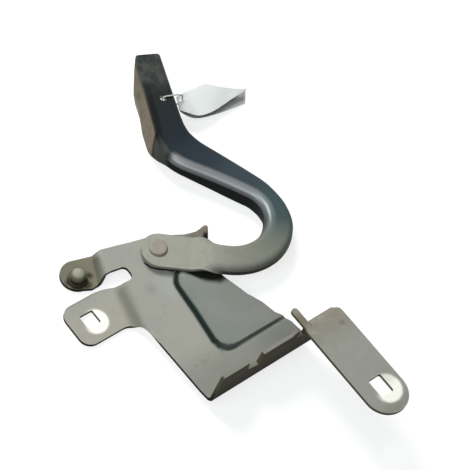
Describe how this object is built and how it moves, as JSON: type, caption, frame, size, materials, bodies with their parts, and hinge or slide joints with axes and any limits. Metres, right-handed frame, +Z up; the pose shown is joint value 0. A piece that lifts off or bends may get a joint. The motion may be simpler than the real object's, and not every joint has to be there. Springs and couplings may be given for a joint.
{
  "type": "hood hinge",
  "caption": "Hood hinge: stamped base bracket with raised bolt ears, ball stud and stop tab, and a gooseneck arm swinging on a rivet.",
  "frame": {"origin": "centre of the lowest level, in the middle of the bounding box", "axes": "+Z up and along the pivot axis, the flange with its raised ear runs along X, the ear points to -Y, the hood pad end of the arm to +Y"},
  "size_m": [0.2306, 0.3268, 0.0455],
  "materials": {
    "bracket": "dull grey-beige primer, worn bright round the bolt holes",
    "arm": "dark blue-grey paint over primer, dull",
    "rivet": "painted over with the primer",
    "bush": "plain bearing bronze",
    "zinc": "dull zinc plate",
    "tie": "white coated wire",
    "tag": "white, blank"
  },
  "bodies": {
    "base": {"base_bracket": "bracket", "pivot_rivet": "rivet", "pivot_bush": "bush", "pivot_washer": "zinc", "ball_stud": "zinc"},
    "arm": {"hood_arm": "arm", "tag_tie": "tie", "paper_tag": "tag"}
  },
  "joints": [
    {"name": "arm_swing", "type": "hinge", "parent": "base", "child": "arm", "pos_m": [-0.03474, 0.02576, 0.01425], "axis": [0, 0, -1], "range_deg": [0, 46]}
  ]
}
